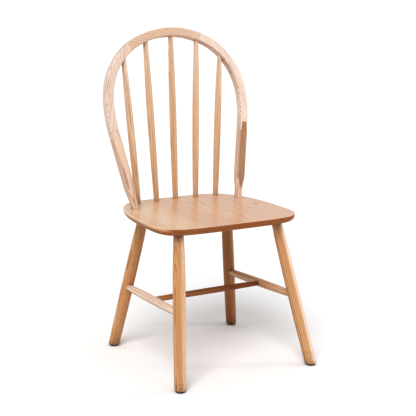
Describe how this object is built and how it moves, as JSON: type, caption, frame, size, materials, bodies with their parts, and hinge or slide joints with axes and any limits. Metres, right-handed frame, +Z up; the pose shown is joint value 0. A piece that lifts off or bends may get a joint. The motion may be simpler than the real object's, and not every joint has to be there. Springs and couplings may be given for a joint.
{
  "type": "dining chair",
  "caption": "Hoop-back wooden dining chair with a bent-looking jointed hoop, turned spindles, a flat board seat, splayed turned legs and an H stretcher.",
  "frame": {"origin": "on the floor, at the middle of the chair's bounding box", "axes": "+X to the right of someone facing the chair's front, +Y from the chair's front to its back, +Z up"},
  "size_m": [0.493, 0.5145, 0.9628],
  "materials": {
    "seat_wood": "flat-grain oak boards under satin clear lacquer",
    "hoop_wood": "oak under satin clear lacquer, pinkish beige",
    "spindle_wood": "oak under satin clear lacquer",
    "leg_wood": "oak under satin clear lacquer",
    "wedge_wood": "dark end-cut hardwood",
    "glide_plastic": "moulded dark brown",
    "nail_steel": "plain steel"
  },
  "bodies": {
    "root": {"seat_board_1": "seat_wood", "seat_board_2": "seat_wood", "seat_board_3": "seat_wood", "seat_board_4": "seat_wood", "hoop_crown": "hoop_wood", "hoop_shoulder_left": "hoop_wood", "hoop_shoulder_right": "hoop_wood", "hoop_post_left": "hoop_wood", "hoop_post_right": "hoop_wood", "post_wedge_left": "wedge_wood", "post_wedge_right": "wedge_wood", "spindle_1": "spindle_wood", "spindle_2": "spindle_wood", "spindle_3": "spindle_wood", "spindle_4": "spindle_wood", "spindle_5": "spindle_wood", "leg_front_left": "leg_wood", "leg_front_right": "leg_wood", "leg_back_left": "leg_wood", "leg_back_right": "leg_wood", "side_stretcher_left": "leg_wood", "side_stretcher_right": "leg_wood", "cross_stretcher": "leg_wood", "glide_front_left": "glide_plastic", "glide_front_right": "glide_plastic", "glide_back_left": "glide_plastic", "glide_back_right": "glide_plastic", "glide_nail_front_left": "nail_steel", "glide_nail_front_right": "nail_steel", "glide_nail_back_left": "nail_steel", "glide_nail_back_right": "nail_steel"}
  },
  "joints": []
}
